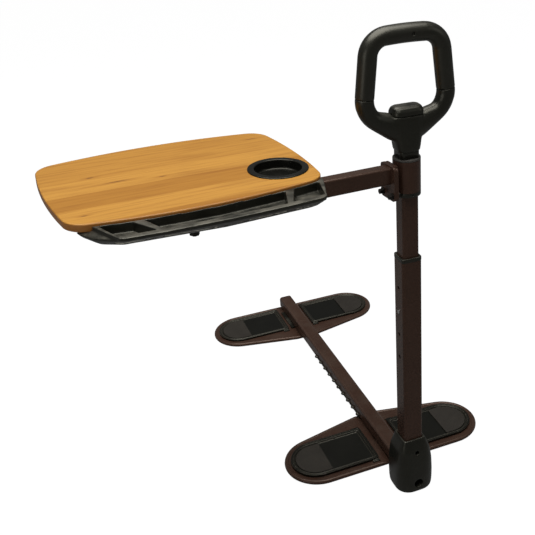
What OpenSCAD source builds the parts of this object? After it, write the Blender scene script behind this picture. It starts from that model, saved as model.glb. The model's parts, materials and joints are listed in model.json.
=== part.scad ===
// Couch standing aid: a floor frame that the couch legs stand on, a post set for height,
// a swivelling tray on an arm and a loop handle. Millimetres, Z up.
// The post axis meets the floor at the origin and the base bar runs back along Y.

/* [Base] */
// Post axis to the rear end of the base bar
base_reach = 811; // [780:1:860]
// Width of the base bar
bar_w = 34; // [30:1:37]
// Height of the base bar
bar_h = 32; // [28:1:36]
// Wall of the base bar
bar_wall = 2; // [1.6:0.1:2.6]
// Length of each cross plate
plate_length = 457; // [440:1:485]
// Radius of the round plate ends
plate_end_r = 75; // [71:1:80]
// Depth of a cross plate at the bar
plate_depth = 180; // [172:1:194]
// Radius of the rolled plate edge
bead_r = 5; // [4.5:0.1:5.4]
// Sheet of the cross plates
plate_sheet = 3; // [2.5:0.1:3.5]
// Post axis to the outer edge of the front plate
front_edge = 64; // [60:1:80]
// Height of the rubber pads on the floor
floor_pad_h = 6; // [5.6:0.1:8]
// Distance between the stops on the bar
rack_pitch = 30; // [28:0.5:31]

/* [Leg pads] */
// Half width of a leg pad
pad_r = 57; // [53:1:58]
// Outer tip of a leg pad from the middle
pad_tip = 215; // [208:1:216]
// Inner end of a leg pad from the middle
pad_in = 34; // [32:1:40]
// Height of the pad rim
pad_rim_h = 6; // [5.5:0.1:8]
// Inner end of the grip from the middle
grip_in = 138; // [125:1:150]

/* [Post] */
// Width of the lower post
lower_w = 40.5; // [39.5:0.5:42]
// Wall of the lower post
lower_wall = 2; // [1.6:0.1:2.2]
// Top of the lower post
lower_top = 527; // [510:1:545]
// Width of the upper post
upper_w = 33; // [31.5:0.1:33.4]
// Wall of the upper post
upper_wall = 1.8; // [1.5:0.1:2.2]
// Height of the buttons as set
button_z = 417; // [405:1:425]
// Distance between the height holes
hole_pitch = 50.8; // [48:0.1:52]
// Radius of a button
button_r = 4; // [3.5:0.1:4.5]
// Travel of a button
button_travel = 5; // [4.8:0.1:5.4]

/* [Boot] */
// Height of the boot
boot_h = 124; // [118:1:135]
// Widest width of the boot
boot_w = 82; // [79:1:88]

/* [Swivel] */
// Outer radius of the swivel collar
collar_r = 25.5; // [25:0.1:27]
// Wall of the swivel collar
collar_wall = 2.3; // [2:0.1:2.5]
// Lower end of the collar
collar_z0 = 667; // [660:1:672]
// Length of the collar
collar_len = 59; // [58:1:64]

/* [Tray arm] */
// Turn of the arm as photographed
arm_turn = 5.16; // [0:0.01:8]
// Rise of the arm towards its end
arm_rise = 1.5; // [0:0.1:2]
// Height of the arm tube
arm_h = 32; // [30:0.5:34]
// Depth of the arm tube
arm_d = 25; // [23:0.5:26]
// Wall of the arm tube
arm_wall = 1.8; // [1.5:0.1:2.2]
// Reach of the arm from the post axis
arm_reach = 436; // [425:1:460]

/* [Tray] */
// Width of the board
board_w = 436; // [425:1:450]
// Depth of the board
board_d = 328; // [320:1:340]
// Thickness of the board
board_t = 13; // [11:0.5:14]
// Front edge of the board ahead of the arm
board_front = 55; // [53:1:57]
// Inner radius of the cup holder
cup_r = 40.7; // [37:0.1:41.5]
// Depth of the cup holder
cup_depth = 17; // [14:0.5:17]
// Depth of the organiser pockets
pocket_depth = 16; // [12:0.5:17]

/* [Handle] */
// Top of the handle
handle_top = 965; // [950:1:985]
// Radius of the grip
grip_r = 16.8; // [16:0.1:17.5]
// Half spread of the loop at the grip seams
loop_half = 78; // [75:1:81]
// Height of the grip seams
seam_z = 846; // [840:1:852]
// Lean of the loop sides
loop_lean = 6.2; // [4:0.1:8]

/* [Hidden] */
$fn = 96;

// Clearances
fit = 0.1;
slide_gap = 0.3;
run_fit = 0.05;
hole_gap = 0.3;
seat = 0.2;
// Straight edges lie this far inside the round ends they run into
line_step = 0.05;

// Base levels
deck_z0 = floor_pad_h;
deck_z1 = deck_z0 + plate_sheet;
bar_z0 = deck_z1;
bar_mid = bar_z0 + bar_h / 2;
bar_r = 7;
bar_front = lower_w / 2;
bar_end_t = 5;
tube_rear = base_reach - bar_end_t;
rear_edge = base_reach + 2;

// Plate outline, outer edge on the X axis, inner side towards +Y
end_x = plate_length / 2 - plate_end_r;
apex = [26, plate_depth];
apex_span = apex - [end_x, plate_end_r];
taper = atan2(apex_span[1], apex_span[0]) - acos(plate_end_r / norm(apex_span));
taper_normal = [cos(taper), sin(taper)];
function tangent_at(inset) = [end_x, plate_end_r] + (plate_end_r - inset) * taper_normal;
function apex_at(inset) = apex - inset * (taper_normal + [0, 1]) / (1 + sin(taper));

// Bolts of the plates along the bar, from the outer edge
plate_bolt_y = [55, 105];
bolt_r = 4;
slot_r = bolt_r + hole_gap;
foot_travel = 270;

// Stops on the bar
rack_first = 240;
rack_count = 10;
rack_z = bar_z0 + 7.5;
tooth_r = 3;
rack_strip = 1.2;

// Pads
pad_floor = 2;
pad_x = pad_tip - pad_r;
clip = [15, 3.6, 2.5];
clip_x = pad_in + 8.5;
clip_y = pad_r + 4.5;
clip_gap = 0.2;

// Post
post_z0 = 7;
lower_r = 6;
upper_r = 5.5;
upper_bottom = button_z - 165;
bush_bead_h = 8;
bush_bead = 0.5;
hole_r = button_r + hole_gap;
lower_in = lower_w - 2 * lower_wall;
upper_in = upper_w - 2 * upper_wall;
button_out = 2.5;
flange_t = 1.2;
spring_t = 1;
spring_drop = 60;
spring_bend = 5;

// Boot: height share, half width share, corner share
boot_form = [[0, 0.92, 0.64], [0.03, 0.97, 0.66], [0.13, 1, 0.66], [0.33, 1, 0.62], [0.58, 0.955, 0.54],
    [0.79, 0.85, 0.44], [0.92, 0.70, 0.30], [1, 0.59, 0.2]];
boot_z0 = 2.5;
boot_screw_z = 97;
post_bolt_r = 4.9;
post_head_r = 7;

// Swivel
collar_z1 = collar_z0 + collar_len;
collar_in = collar_r - collar_wall;
bush_r = collar_in - run_fit;
bush_len = 22;
upper_flange = 4;
lower_flange = 8;
post_show = 11.5;
hub_z0 = collar_z1 + seat + upper_flange + post_show;
upper_top = hub_z0 + 38;
bracket_x = 31;
bracket_t = 4;
arm_plate_t = 5;
arm_x = bracket_x + bracket_t + arm_plate_t;
arm_z = 702;
plate_half = 24;
arm_bolt_r = 3;
arm_bolt_at = [[16.5, 667], [-16.5, 667]];
plate_z0 = 657;
plate_z1 = 722;
hook_t = 2.5;
hook_drop = 7;

// Tray, above the middle line of the arm
strip_t = 4;
board_z = arm_h / 2 + strip_t;
board_top = board_z + board_t;
board_x = arm_reach - 50;
board_y = board_d / 2 - board_front;
edge_r = 1.5;
bow_side = 15;
bow_front = 26;
corner_r = 40;
cup_at = [board_w / 2 - 63 - board_x, 97 - board_front];
cup_wall = 2.5;
strip_w = 36;
strip_x = [cup_r + strip_w / 2 + 10 - cup_at[0], board_x + 12];
strip_y0 = -13;
strip_y1 = board_d - board_front - 58;
screw_y = [45, strip_y1 / 2 + 15, strip_y1 - 15];
wood_screw_r = 2;
cup_lip = 2.4;
cup_flange = cup_r + 11.8;
stud_r = 4;
knob_drop = 20;

// Organiser, in the frame of the tray
bin_shift = 13;
bin_x = bin_shift - board_x;
bin_top = board_top - 4;
bin_h = 24;
bin_bottom = bin_top - bin_h;
bin_half = board_w / 2 - 25;
bin_front = -board_front - 58;
bin_back = -arm_d / 2 - 7.5;
bin_wall = 3.5;
bin_flange = 4;
flange_front = bin_back - 23;
bin_screw_x = [-0.67 * bin_half, 0, 0.67 * bin_half];
bin_screw_y = bin_back - 16;

// Handle loop
loop_bend = 34;
bend_z = handle_top - grip_r - loop_bend;
limb_top = bend_z + loop_bend * sin(loop_lean);
bend_x = loop_half - (limb_top - seam_z) * tan(loop_lean) - loop_bend * cos(loop_lean);
limb_len = (limb_top - seam_z) / cos(loop_lean);
core_r = 8;
core_tail = 18;
bend_step = 0.2;

// Hub: the limbs bend from the seams towards the post
elbow_r = 45;
limb_slope = 35;
elbow_x = loop_half - elbow_r * cos(loop_lean);
elbow_z = seam_z - elbow_r * sin(loop_lean);
hub_bolt_r = 4;
hub_z = upper_top + 10;
cap_z = hub_z + 20;
cap_h = 16;
// Hub body: height, width, depth, corner
hub_rows = [[hub_z0, 43, 43, 13], [hub_z0 + 6, 45, 44, 14], [hub_z0 + 18, 50, 42, 14], [cap_z, 60, 40, 13]];
web_at = [22, hub_z0 + 46];
web_r = 25;
// Cap: width, depth, corner, share of its height
cap_rows = [[60, 40, 13, 0], [59, 38, 13, 0.45], [55, 31, 12, 0.8], [47, 20, 9, 1]];

// Shared shapes

module rounded_square(w, d, r) {
    square([w - 2 * r, d], center = true);
    square([w, d - 2 * r], center = true);
    for (sx = [-1, 1], sy = [-1, 1])
        translate([sx * (w / 2 - r), sy * (d / 2 - r)])
            circle(r = r);
}

module square_tube(w, d, r, wall) {
    difference() {
        rounded_square(w, d, r);
        rounded_square(w - 2 * wall, d - 2 * wall, r - wall);
    }
}

module along_z(z0, z1) {
    translate([0, 0, z0])
        linear_extrude(height = z1 - z0)
            children();
}

module along_y(y0, y1) {
    translate([0, y0, 0])
        rotate([-90, 0, 0])
            linear_extrude(height = y1 - y0)
                children();
}

module along_left(x0, x1) {
    translate([-x0, 0, 0])
        rotate([0, -90, 0])
            linear_extrude(height = x1 - x0)
                children();
}

module rod_z(x, y, z0, z1, r) {
    translate([x, y, z0])
        cylinder(h = z1 - z0, r = r);
}

module rod_y(x, z, y0, y1, r) {
    translate([x, y0, z])
        rotate([-90, 0, 0])
            cylinder(h = y1 - y0, r = r);
}

module rod_x(x0, x1, y, z, r) {
    translate([x0, y, z])
        rotate([0, 90, 0])
            cylinder(h = x1 - x0, r = r);
}

module hex_x(x0, x1, y, z, r) {
    translate([x0, y, z])
        rotate([0, 90, 0])
            cylinder(h = x1 - x0, r = r, $fn = 6);
}

module hex_z(x, y, z0, z1, r) {
    translate([x, y, z0])
        cylinder(h = z1 - z0, r = r, $fn = 6);
}

module both_sides() {
    children();
    mirror([1, 0, 0])
        children();
}

module at_front() {
    translate([0, front_edge, 0])
        children();
}

module at_rear() {
    translate([0, rear_edge, -slide_gap])
        mirror([0, 1, 0])
            children();
}

module on_left() {
    mirror([1, 0, 0])
        children();
}

module bar_section(grow) {
    rounded_square(bar_w + 2 * grow, bar_h + 2 * grow, bar_r + grow);
}

module at_bar() {
    translate([0, 0, bar_mid])
        children();
}

// Cross plates

module deck_outline(inset) {
    line = inset + line_step;
    t = tangent_at(line);
    p = apex_at(line);
    polygon([[-end_x, line], [end_x, line], t, p, [-p[0], p[1]], [-t[0], t[1]]]);
    for (side = [-1, 1])
        translate([side * end_x, plate_end_r])
            circle(r = plate_end_r - inset);
}

module rolled_edge(low, high, inset) {
    along_z(low, high)
        difference() {
            deck_outline(inset);
            deck_outline(2 * bead_r - inset);
        }
}

module cross_plate(bar_gap) {
    difference() {
        union() {
            along_z(deck_z0, deck_z1)
                deck_outline(bead_r);
            rolled_edge(deck_z0 - 0.94 * bead_r, deck_z0 + 0.94 * bead_r, 0.66 * bead_r);
            rolled_edge(deck_z0 - 0.73 * bead_r, deck_z0 + 0.73 * bead_r, 0.32 * bead_r);
            rolled_edge(deck_z0 - 0.42 * bead_r, deck_z0 + 0.42 * bead_r, 0.1 * bead_r);
        }
        translate([-bar_w / 2 - bar_gap, -1, deck_z1])
            cube([bar_w + 2 * bar_gap, plate_depth + 2, bar_h]);
        for (y = plate_bolt_y)
            rod_z(0, y, 0, deck_z1 + 1, slot_r);
        for (x = [-clip_x, clip_x], y = [-clip_y, clip_y])
            translate([x, plate_end_r + y, deck_z0])
                cube([clip[0] + 2, clip[1] + 2 * clip_gap, 4 * plate_sheet], center = true);
    }
}

module pad_outline(inset) {
    corner = 6;
    half = pad_r - inset;
    x0 = pad_in + inset;
    translate([0, plate_end_r]) {
        translate([pad_x, 0])
            circle(r = half);
        translate([x0 + corner, -half])
            square([pad_x - x0 - corner, 2 * half]);
        translate([x0, corner - half])
            square([pad_x - x0, 2 * half - 2 * corner]);
        for (side = [-1, 1])
            translate([x0 + corner, side * (half - corner)])
                circle(r = corner);
    }
}

module pad_clip() {
    translate([clip_x - clip[0] / 2, clip_y - clip[1] / 2, deck_z0])
        cube([clip[0], clip[1], plate_sheet + 1]);
    translate([clip_x - clip[0] / 2, pad_r - 1, deck_z1])
        cube([clip[0], clip_y + clip[1] / 2 - pad_r + 1, clip[2]]);
}

module leg_pad() {
    translate([0, plate_end_r, 0])
        for (side = [0, 1])
            mirror([0, side, 0])
                pad_clip();
    difference() {
        along_z(deck_z1, deck_z1 + pad_rim_h)
            pad_outline(0);
        along_z(deck_z1 + pad_rim_h - 3, deck_z1 + pad_rim_h + 1)
            difference() {
                pad_outline(4);
                pad_outline(6.5);
            }
        along_z(deck_z1 + pad_rim_h - 1, deck_z1 + pad_rim_h + 1)
            pad_outline(5);
        along_z(deck_z1 + pad_floor, deck_z1 + pad_rim_h + 1)
            pad_outline(9);
    }
}

module leg_grip() {
    along_z(deck_z1 + pad_floor, deck_z1 + pad_floor + 2.2)
        intersection() {
            pad_outline(11.5);
            translate([grip_in, 0])
                square([plate_length, plate_length]);
        }
}

module floor_pad_pair(z0) {
    both_sides()
        along_z(z0, deck_z0)
            pad_outline(-2);
}

module plate_bolts(z1) {
    for (y = plate_bolt_y) {
        rod_z(0, y, deck_z0 - 4, deck_z0, bolt_r + 3.5);
        rod_z(0, y, deck_z0 - 0.5, z1, bolt_r);
    }
}

// Base pieces

module base_bar() {
    color([0.24, 0.18, 0.15])
        difference() {
            at_bar()
                along_y(bar_front, tube_rear)
                    square_tube(bar_w, bar_h, bar_r, bar_wall);
            for (y = plate_bolt_y)
                rod_z(0, front_edge + y, bar_z0 - 1, bar_mid, slot_r);
            translate([-slot_r, rear_edge - plate_bolt_y[1] - foot_travel - slot_r, bar_z0 - 1])
                cube([2 * slot_r, foot_travel + plate_bolt_y[1] - plate_bolt_y[0] + 2 * slot_r, bar_wall + 2]);
        }
}

module bar_end_cap() {
    color([0.24, 0.18, 0.15])
        at_bar() {
            difference() {
                along_y(tube_rear, base_reach)
                    bar_section(0);
                along_y(base_reach - 1.5, base_reach + 1)
                    difference() {
                        bar_section(2);
                        bar_section(-2.5);
                    }
            }
            along_y(tube_rear - 18, tube_rear + 1)
                bar_section(-bar_wall - fit);
        }
}

module bar_front_plug() {
    color([0.5, 0.5, 0.5])
        difference() {
            at_bar()
                along_y(bar_front, bar_front + 42)
                    bar_section(-bar_wall - fit);
            rod_y(0, bar_mid, bar_front - 1, bar_front + 50, post_bolt_r + fit);
        }
}

module length_rack() {
    x = -bar_w / 2;
    color([0.05, 0.05, 0.05]) {
        translate([x - rack_strip, rack_first - 9, rack_z - 3])
            cube([rack_strip, rack_pitch * (rack_count - 1) + 18, 6]);
        for (i = [0 : rack_count - 1])
            intersection() {
                rod_z(x - 0.4, rack_first + rack_pitch * i, rack_z - 3, rack_z + 3, tooth_r);
                translate([x - 2 * tooth_r, 0, 0])
                    cube([2 * tooth_r, base_reach, bar_h + bar_z0]);
            }
    }
}

module front_foot_plate() {
    color([0.24, 0.18, 0.15])
        at_front()
            cross_plate(fit);
}

module front_plate_bolts() {
    color([0.3, 0.3, 0.3])
        at_front()
            plate_bolts(bar_z0 + bar_wall + 9);
}

module front_plate_nuts() {
    color([0.6, 0.6, 0.6])
        at_front()
            for (y = plate_bolt_y)
                difference() {
                    hex_z(0, y, bar_z0 + bar_wall, bar_z0 + bar_wall + 6.5, bolt_r + 3.5);
                    rod_z(0, y, bar_z0, bar_mid, bolt_r + run_fit);
                }
}

module front_left_leg_pad() {
    color([0.07, 0.07, 0.07])
        at_front()
            on_left()
                leg_pad();
}

module front_right_leg_pad() {
    color([0.07, 0.07, 0.07])
        at_front()
            leg_pad();
}

module front_left_grip() {
    color([0.2, 0.19, 0.18])
        at_front()
            on_left()
                leg_grip();
}

module front_right_grip() {
    color([0.2, 0.19, 0.18])
        at_front()
            leg_grip();
}

module front_floor_pads() {
    color([0.06, 0.06, 0.06])
        at_front()
            floor_pad_pair(0);
}

module boot_body() {
    hull()
        for (row = boot_form)
            translate([0, 0, boot_z0 + row[0] * (boot_h - boot_z0) - (row[0] == 1 ? 0.1 : 0)])
                linear_extrude(height = 0.1)
                    rounded_square(boot_w * row[1], boot_w * row[1], boot_w * row[1] * row[2] / 2 + 3, $fn = 32);
}

module post_boot() {
    color([0.08, 0.08, 0.08])
        difference() {
            boot_body();
            along_z(post_z0, boot_h + 1)
                rounded_square(lower_w + 2 * fit, lower_w + 2 * fit, lower_r + fit);
            at_bar()
                along_y(0, boot_w)
                    bar_section(fit);
            rod_y(0, bar_mid, -boot_w, 0, post_head_r + 2.5);
            rod_y(0, boot_screw_z, -boot_w, -lower_w / 2 - 4, 4.2);
            rod_y(0, boot_screw_z, -boot_w, 0, 2.2);
        }
}

module boot_floor_pad() {
    color([0.05, 0.05, 0.05])
        along_z(0, boot_z0)
            rounded_square(boot_w * 0.74, boot_w * 0.74, 14);
}

module boot_screw() {
    color([0.35, 0.35, 0.35])
        difference() {
            union() {
                rod_y(0, boot_screw_z, -lower_w / 2 - 7, -lower_w / 2 - 4, 3.9);
                rod_y(0, boot_screw_z, -lower_w / 2 - 4.5, -lower_w / 2 + lower_wall + 4, 2.1);
            }
            rod_y(0, boot_screw_z, -lower_w / 2 - 8, -lower_w / 2 - 5.5, 1.6);
        }
}

module post_bolt() {
    color([0.35, 0.35, 0.35])
        difference() {
            union() {
                rod_y(0, bar_mid, -lower_w / 2 - 7, -lower_w / 2, post_head_r);
                rod_y(0, bar_mid, -lower_w / 2 - 1, bar_front + 38, post_bolt_r);
            }
            translate([0, -lower_w / 2 - 8, bar_mid])
                rotate([-90, 0, 0])
                    cylinder(h = 5, r = 4, $fn = 6);
        }
}

module lower_post() {
    color([0.24, 0.18, 0.15])
        difference() {
            along_z(post_z0, lower_top)
                square_tube(lower_w, lower_w, lower_r, lower_wall);
            for (i = [-2 : 1])
                rod_x(-lower_w, lower_w, 0, button_z + hole_pitch * i, hole_r);
            rod_y(0, bar_mid, -lower_w, lower_w, post_bolt_r + fit);
            rod_y(0, boot_screw_z, -lower_w, 0, 2.2);
        }
}

module post_bushing() {
    color([0.09, 0.09, 0.09])
        difference() {
            union() {
                along_z(lower_top, lower_top + bush_bead_h)
                    rounded_square(lower_w + 2 * bush_bead, lower_w + 2 * bush_bead, lower_r + bush_bead);
                along_z(lower_top - 34, lower_top + 1)
                    rounded_square(lower_in - 2 * run_fit, lower_in - 2 * run_fit, lower_r - lower_wall);
            }
            along_z(lower_top - 35, lower_top + bush_bead_h + 1)
                rounded_square(upper_w + 2 * slide_gap, upper_w + 2 * slide_gap, upper_r + slide_gap);
        }
}

// Sliding rear foot

module rear_foot_plate() {
    color([0.24, 0.18, 0.15])
        at_rear()
            cross_plate(slide_gap);
}

module rear_left_leg_pad() {
    color([0.07, 0.07, 0.07])
        at_rear()
            on_left()
                leg_pad();
}

module rear_right_leg_pad() {
    color([0.07, 0.07, 0.07])
        at_rear()
            leg_pad();
}

module rear_left_grip() {
    color([0.2, 0.19, 0.18])
        at_rear()
            on_left()
                leg_grip();
}

module rear_right_grip() {
    color([0.2, 0.19, 0.18])
        at_rear()
            leg_grip();
}

module rear_floor_pads() {
    color([0.06, 0.06, 0.06])
        at_rear()
            floor_pad_pair(slide_gap);
}

module bar_guides() {
    color([0.06, 0.06, 0.06])
        at_rear()
            both_sides()
                translate([bar_w / 2 + slide_gap, 40, deck_z1])
                    cube([9, 90, 4]);
}

module slide_block() {
    block_h = 12;
    color([0.5, 0.5, 0.48])
        difference() {
            translate([bar_r - bar_w / 2, rear_edge - plate_bolt_y[1] - 14, bar_z0 + bar_wall + slide_gap])
                cube([bar_w - 2 * bar_r, plate_bolt_y[1] - plate_bolt_y[0] + 28, block_h]);
            at_rear()
                for (y = plate_bolt_y)
                    rod_z(0, y, 0, bar_mid + bar_h, bolt_r + run_fit);
        }
}

module slide_bolts() {
    color([0.3, 0.3, 0.3])
        at_rear()
            plate_bolts(bar_z0 + bar_wall + 11);
}

// Upper post and its catch

module upper_post() {
    color([0.24, 0.18, 0.15])
        difference() {
            along_z(upper_bottom, upper_top)
                square_tube(upper_w, upper_w, upper_r, upper_wall);
            rod_x(-lower_w, lower_w, 0, button_z, hole_r);
            rod_y(0, collar_z0 - lower_flange / 2, -upper_w, upper_w, 2.2);
        }
}

module post_guide_plug() {
    color([0.12, 0.12, 0.12]) {
        along_z(upper_bottom - 10, upper_bottom)
            rounded_square(lower_in - 2 * slide_gap, lower_in - 2 * slide_gap, lower_r - lower_wall);
        along_z(upper_bottom - 1, upper_bottom + 22)
            rounded_square(upper_in - 2 * fit, upper_in - 2 * fit, upper_r - upper_wall);
    }
}

function bend_points(r, from, to) =
    [for (i = [from : sign(to - from) : to]) [r * cos(-15 * i), -spring_drop + r * sin(-15 * i)]];

module spring_outline() {
    out = upper_in / 2 - flange_t - fit;
    inner = out - spring_t;
    polygon(concat([[out, 8], [out, -8]], bend_points(spring_bend + spring_t, 0, 12), [[-out, -8], [-out, 8],
        [-inner, 8], [-inner, -8]], bend_points(spring_bend, 12, 0), [[inner, -8], [inner, 8]]));
}

module catch_spring() {
    color([0.6, 0.6, 0.6])
        translate([0, 0, button_z])
            rotate([90, 0, 0])
                linear_extrude(height = 9, center = true)
                    spring_outline();
}

module button() {
    tip = lower_w / 2 + button_out;
    base = upper_in / 2 - fit - flange_t;
    dome = 1.5 * button_r;
    translate([0, 0, button_z])
        rotate([0, 90, 0])
            rotate_extrude() {
                translate([0, base])
                    square([button_r + 2, flange_t]);
                translate([0, base])
                    square([button_r, tip - dome / 2 - base]);
                intersection() {
                    translate([0, tip - dome])
                        circle(r = dome);
                    translate([0, base])
                        square([button_r, tip - base]);
                }
            }
}

module left_button() {
    color([0.75, 0.75, 0.75])
        on_left()
            button();
}

module right_button() {
    color([0.75, 0.75, 0.75])
        button();
}

module post_bore(z0, z1) {
    along_z(z0, z1)
        rounded_square(upper_w + 2 * fit, upper_w + 2 * fit, upper_r + fit);
}

module lower_swivel_bush() {
    z0 = collar_z0 - seat - lower_flange;
    color([0.1, 0.1, 0.1])
        difference() {
            union() {
                rod_z(0, 0, z0, collar_z0 - seat, collar_r);
                rod_z(0, 0, z0 + 1, collar_z0 + bush_len, bush_r);
            }
            post_bore(z0 - 1, collar_z1);
            rod_y(0, collar_z0 - lower_flange / 2, -collar_r - 1, collar_r + 1, 2.2);
        }
}

module upper_swivel_bush() {
    z1 = collar_z1 + seat + upper_flange;
    color([0.62, 0.62, 0.6])
        difference() {
            union() {
                rod_z(0, 0, collar_z1 + seat, z1, collar_r);
                rod_z(0, 0, collar_z1 - bush_len, z1 - 1, bush_r);
            }
            post_bore(collar_z0, z1 + 1);
        }
}

module bush_screws() {
    z = collar_z0 - lower_flange / 2;
    color([0.3, 0.3, 0.3])
        for (side = [0, 1])
            mirror([0, side, 0])
                rod_y(0, z, upper_w / 2 - upper_wall - 3, collar_r - 1, 2.1);
}

module post_top_plug() {
    color([0.4, 0.4, 0.4])
        difference() {
            along_z(upper_top - 46, upper_top)
                rounded_square(upper_in - 2 * fit, upper_in - 2 * fit, upper_r - upper_wall);
            rod_z(0, 0, upper_top - 47, upper_top + 1, hub_bolt_r + run_fit);
        }
}

// Handle

module stacked(rows) {
    hull()
        for (row = rows)
            translate([0, 0, row == rows[len(rows) - 1] ? row[0] - 0.1 : row[0]])
                linear_extrude(height = 0.1)
                    rounded_square(row[1], row[2], row[3], $fn = 40);
}

module hub_limb(side) {
    translate([side * elbow_x, 0, elbow_z])
        rotate([90, 0, 0])
            rotate([0, 0, side > 0 ? limb_slope - 90 : 180 - loop_lean])
                rotate_extrude(angle = 90 - limb_slope + loop_lean)
                    translate([elbow_r, 0])
                        circle(r = grip_r - bend_step);
    hull() {
        translate([side * (elbow_x + elbow_r * sin(limb_slope)), 0, elbow_z - elbow_r * cos(limb_slope)])
            sphere(r = grip_r, $fn = 32);
        translate([side * web_at[0], 0, web_at[1]])
            scale([1, 0.76, 1])
                sphere(r = web_r, $fn = 32);
    }
}

module at_limb(side) {
    translate([side * loop_half, 0, seam_z])
        rotate([0, -side * loop_lean, 0])
            children();
}

module handle_hub() {
    color([0.08, 0.08, 0.08])
        difference() {
            union() {
                stacked(hub_rows);
                for (side = [-1, 1])
                    hub_limb(side);
            }
            for (side = [-1, 1])
                at_limb(side)
                    rod_z(0, 0, -core_tail - 1, 1, core_r + fit);
            post_bore(hub_z0 - 1, upper_top);
            rod_z(0, 0, upper_top - 1, cap_z + 1, hub_bolt_r + hole_gap);
            rod_z(0, 0, hub_z, cap_z + 1, hub_bolt_r + 4.5);
            along_z(cap_z, cap_z + cap_h)
                rounded_square(cap_rows[0][0] + 2 * fit, cap_rows[0][1] + 2 * fit, cap_rows[0][2]);
        }
}

module hub_cap() {
    color([0.1, 0.1, 0.1]) {
        stacked([for (row = cap_rows) [cap_z + row[3] * cap_h, row[0], row[1], row[2]]]);
        rod_z(0, 0, cap_z - 4, cap_z + 1, hub_bolt_r + 4.5 - fit);
    }
}

module hub_bolt() {
    color([0.3, 0.3, 0.3])
        difference() {
            union() {
                rod_z(0, 0, hub_z, hub_z + 8, hub_bolt_r + 3.5);
                rod_z(0, 0, upper_top - 40, hub_z + 1, hub_bolt_r);
            }
            hex_z(0, 0, hub_z + 4, hub_z + 9, 3.8);
        }
}

module loop_run(r, below) {
    for (side = [-1, 1]) {
        at_limb(side)
            rod_z(0, 0, -below, limb_len + 1, r);
        translate([side * bend_x, 0, bend_z])
            rotate([90, 0, 0])
                rotate([0, 0, side > 0 ? loop_lean : 90])
                    rotate_extrude(angle = 90 - loop_lean)
                        translate([loop_bend, 0])
                            circle(r = r - bend_step);
    }
    rod_x(-bend_x - 1, bend_x + 1, 0, bend_z + loop_bend, r);
}

module handle_core() {
    color([0.45, 0.45, 0.45])
        loop_run(core_r, core_tail);
}

module handle_grip() {
    color([0.06, 0.06, 0.06])
        difference() {
            loop_run(grip_r, -0.6);
            loop_run(core_r + fit, 1);
            rod_y(8, handle_top - grip_r, -2 * grip_r, -grip_r + 4, 3.2);
        }
}

// Swivel and arm

module turned() {
    rotate([0, 0, arm_turn])
        children();
}

module on_arm() {
    turned()
        translate([0, 0, arm_z])
            rotate([0, arm_rise, 0])
                children();
}

module swivel_collar() {
    color([0.24, 0.18, 0.15])
        difference() {
            rod_z(0, 0, collar_z0, collar_z1, collar_r);
            rod_z(0, 0, collar_z0 - 1, collar_z1 + 1, collar_in);
        }
}

module plate_outline(low, high) {
    r = 7;
    translate([(low + high) / 2, 0])
        rounded_square(high - low, 2 * plate_half, r);
}

module collar_bracket() {
    web_z = collar_z0 + 2;
    color([0.24, 0.18, 0.15])
        turned()
            difference() {
                union() {
                    along_left(bracket_x, bracket_x + bracket_t)
                        plate_outline(plate_z0, plate_z1 - hook_t);
                    translate([-bracket_x - 1, -10, web_z])
                        cube([bracket_x + 1, 20, plate_z1 - hook_t - hook_drop - 0.5 - web_z]);
                }
                rod_z(0, 0, collar_z0 - 20, collar_z1 + 20, collar_r);
                translate([-collar_r, -collar_r, collar_z0 - 20])
                    cube([3 * collar_r, 2 * collar_r, collar_len + 40]);
                for (p = arm_bolt_at)
                    rod_x(-bracket_x - 20, -bracket_x + 20, p[0], p[1], arm_bolt_r + fit);
            }
}

module arm_plate() {
    hook_x = bracket_x - fit - hook_t;
    hook_half = plate_half - 7;
    color([0.24, 0.18, 0.15])
        turned()
            difference() {
                union() {
                    along_left(bracket_x + bracket_t, arm_x)
                        plate_outline(plate_z0, plate_z1);
                    translate([-arm_x + 1, -hook_half, plate_z1 - hook_t + fit])
                        cube([arm_x - 1 - hook_x, 2 * hook_half, hook_t - fit]);
                    translate([-hook_x - hook_t, -hook_half, plate_z1 - hook_t - hook_drop])
                        cube([hook_t, 2 * hook_half, hook_t + hook_drop]);
                }
                for (p = arm_bolt_at)
                    rod_x(-arm_x - 5, -bracket_x, p[0], p[1], arm_bolt_r + fit);
            }
}

module arm_bolts() {
    color([0.2, 0.19, 0.18])
        turned()
            for (p = arm_bolt_at) {
                rod_x(-arm_x - 2, -arm_x, p[0], p[1], arm_bolt_r + 3);
                hex_x(-arm_x - 8, -arm_x - 1, p[0], p[1], arm_bolt_r + 2.2);
                rod_x(-arm_x - 1, -bracket_x + 6, p[0], p[1], arm_bolt_r);
            }
}

module arm_nuts() {
    color([0.4, 0.4, 0.4])
        turned()
            for (p = arm_bolt_at)
                difference() {
                    hex_x(-bracket_x, -bracket_x + 4.5, p[0], p[1], arm_bolt_r + 2.6);
                    rod_x(-bracket_x - 1, -bracket_x + 8, p[0], p[1], arm_bolt_r + run_fit);
                }
}

module arm_tube() {
    color([0.24, 0.18, 0.15])
        difference() {
            on_arm()
                along_left(arm_x - 3, arm_reach)
                    square_tube(arm_h, arm_d, 4, arm_wall);
            turned()
                translate([-arm_x, -arm_d, arm_z - arm_h])
                    cube([arm_x, 2 * arm_d, 2 * arm_h]);
            on_arm()
                rod_z(-strip_x[1], 0, -arm_h, arm_h, stud_r + hole_gap);
        }
}

module arm_end_cap() {
    color([0.08, 0.08, 0.08])
        on_arm() {
            along_left(arm_reach, arm_reach + 5)
                rounded_square(arm_h, arm_d, 4);
            along_left(arm_reach - 16, arm_reach + 1)
                rounded_square(arm_h - 2 * arm_wall - 2 * fit, arm_d - 2 * arm_wall - 2 * fit, 4 - arm_wall);
        }
}

// Tray

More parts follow.
